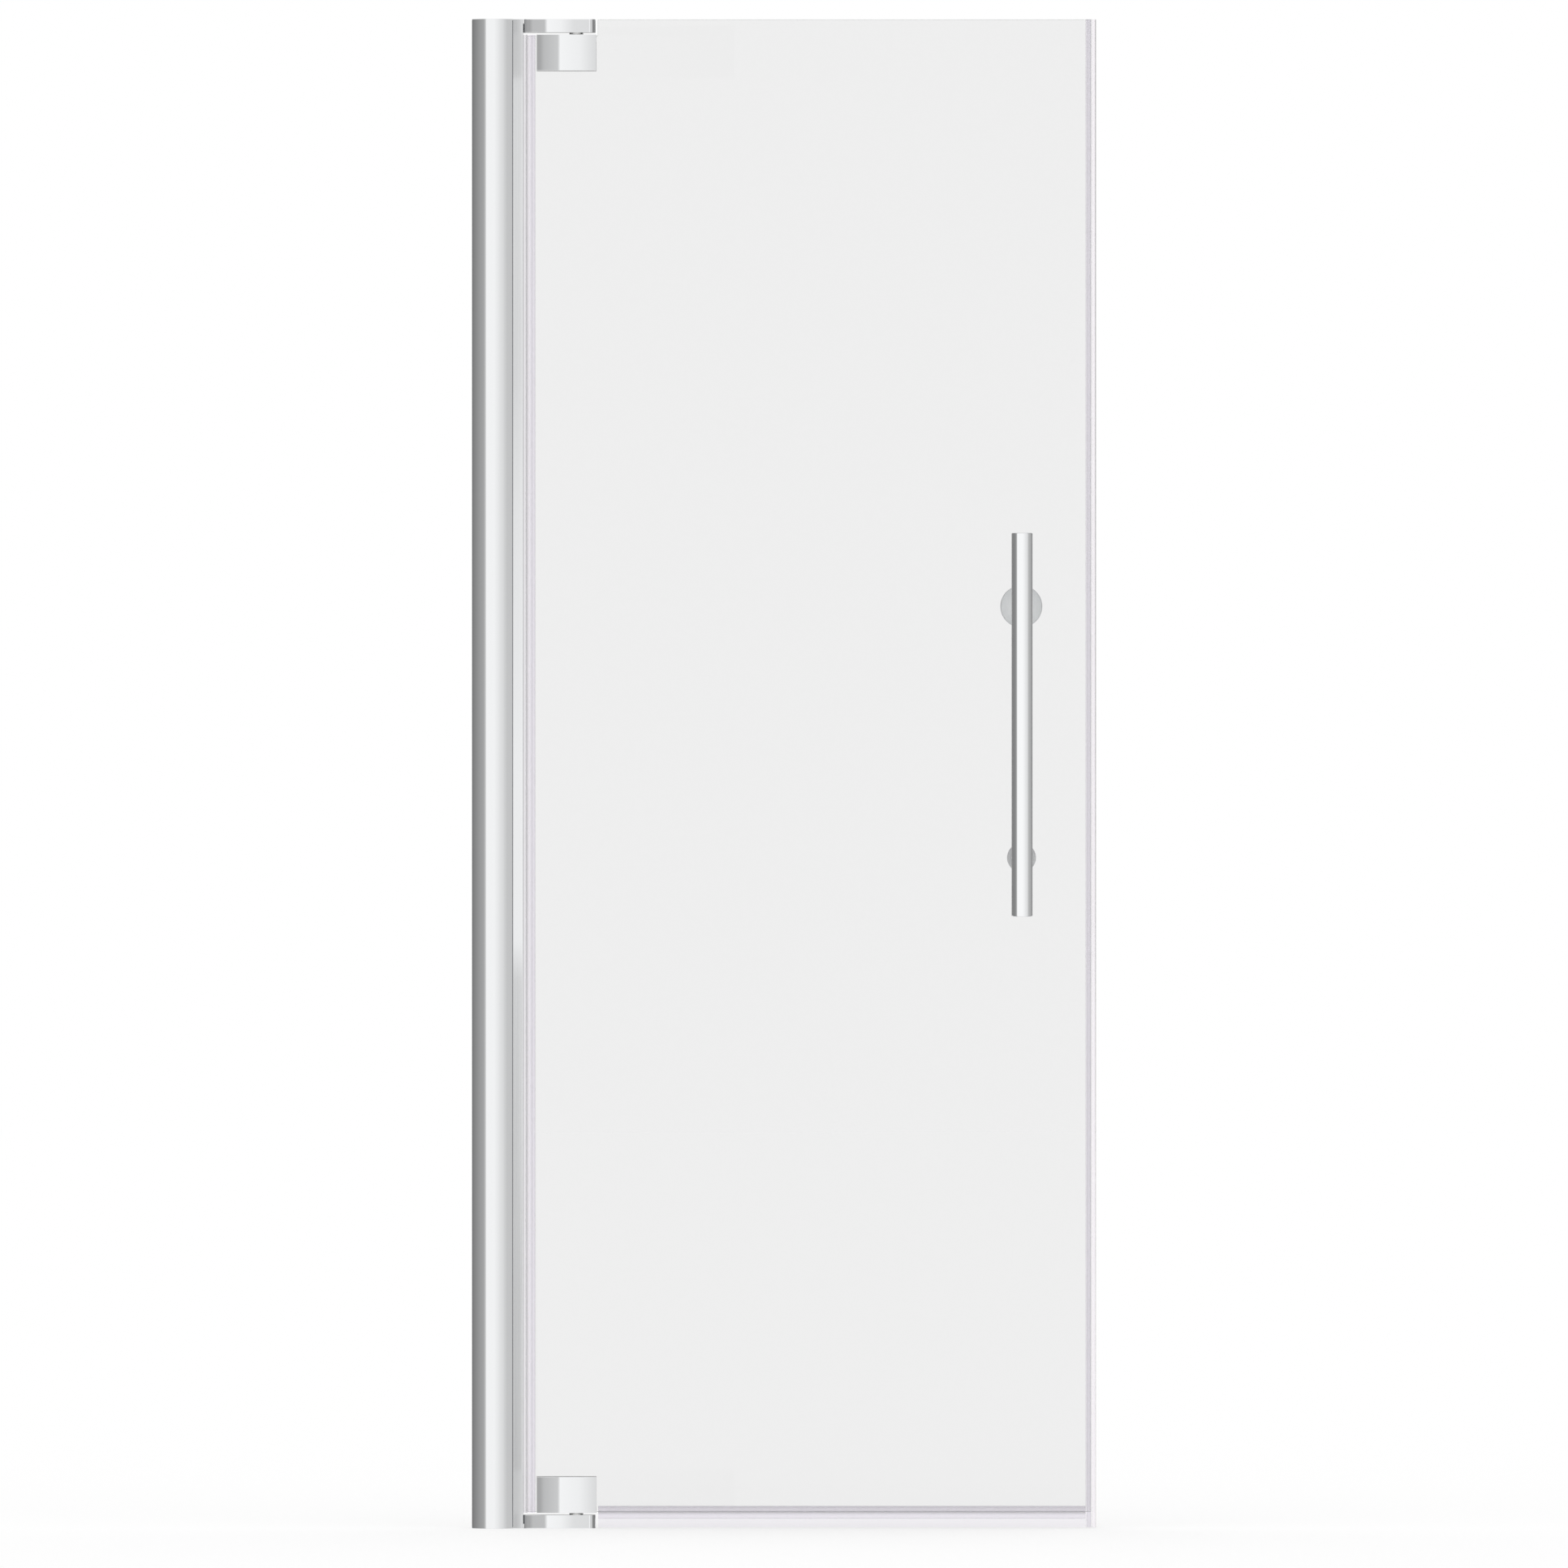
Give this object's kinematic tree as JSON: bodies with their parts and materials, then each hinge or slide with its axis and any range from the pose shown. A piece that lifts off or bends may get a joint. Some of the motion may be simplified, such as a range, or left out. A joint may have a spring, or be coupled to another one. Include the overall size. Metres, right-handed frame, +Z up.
{
  "type": "pivot shower door",
  "caption": "Frameless glass shower door on two pivot hinges with a telescoping wall jamb, clear edge seals, a straight outer bar handle and an inner knob.",
  "frame": {"origin": "lower end of the wall jamb's back face, on the wall plane and in the middle plane of the glass, at threshold level", "axes": "+X from the wall to the free edge of the glass, +Y into the shower, +Z up; the bar handle and the viewer are on -Y"},
  "size_m": [0.7564, 0.1077, 1.8288],
  "materials": {
    "polished_aluminium": "bright anodised, mirror polish",
    "polished_chrome": "polished chrome plate",
    "clear_glass": "clear toughened glass, flat ground edges",
    "clear_vinyl": "clear extruded vinyl",
    "white_nylon": "moulded nylon",
    "stainless_steel": "turned stainless steel",
    "grey_fibre": "pressed fibre sheet"
  },
  "bodies": {
    "jamb": {"wall_jamb": "polished_aluminium", "jamb_cap_top": "polished_aluminium", "jamb_cap_bottom": "polished_aluminium"},
    "post": {"expander_profile": "polished_aluminium", "expander_plug_top": "polished_aluminium", "expander_plug_bottom": "polished_aluminium", "adjustment_screws": "stainless_steel", "adjustment_washers": "stainless_steel", "top_arm": "polished_chrome", "bottom_arm": "polished_chrome", "arm_screws": "stainless_steel", "top_pivot_pin": "stainless_steel", "bottom_pivot_pin": "stainless_steel", "pin_lock_screws": "stainless_steel"},
    "door": {"glass_panel": "clear_glass", "top_front_clamp": "polished_chrome", "top_back_clamp": "polished_chrome", "top_pivot_block": "stainless_steel", "top_pivot_bush": "white_nylon", "top_clamp_gaskets": "grey_fibre", "bottom_front_clamp": "polished_chrome", "bottom_back_clamp": "polished_chrome", "bottom_pivot_block": "stainless_steel", "bottom_pivot_bush": "white_nylon", "bottom_clamp_gaskets": "grey_fibre", "clamp_screws": "stainless_steel", "hinge_side_seal": "clear_vinyl", "strike_side_seal": "clear_vinyl", "bottom_sweep": "clear_vinyl", "handle_bar": "polished_chrome", "handle_end_caps": "polished_chrome", "handle_standoffs": "polished_chrome", "handle_hubs": "stainless_steel", "handle_studs": "stainless_steel", "handle_set_screws": "stainless_steel", "outer_gaskets": "grey_fibre", "glass_sleeves": "white_nylon", "knob_head": "polished_chrome", "knob_neck": "polished_chrome", "knob_gasket": "grey_fibre", "inner_cap": "polished_chrome", "inner_cap_gasket": "grey_fibre"}
  },
  "joints": [
    {"name": "width_adjust", "type": "slide", "parent": "jamb", "child": "post", "axis": [1, 0, 0], "range_m": [-0.01, 0.012]},
    {"name": "door_swing", "type": "hinge", "parent": "post", "child": "door", "pos_m": [0.1264, 0, 0.9144], "axis": [0, 0, -1], "range_deg": [0, 95]}
  ]
}
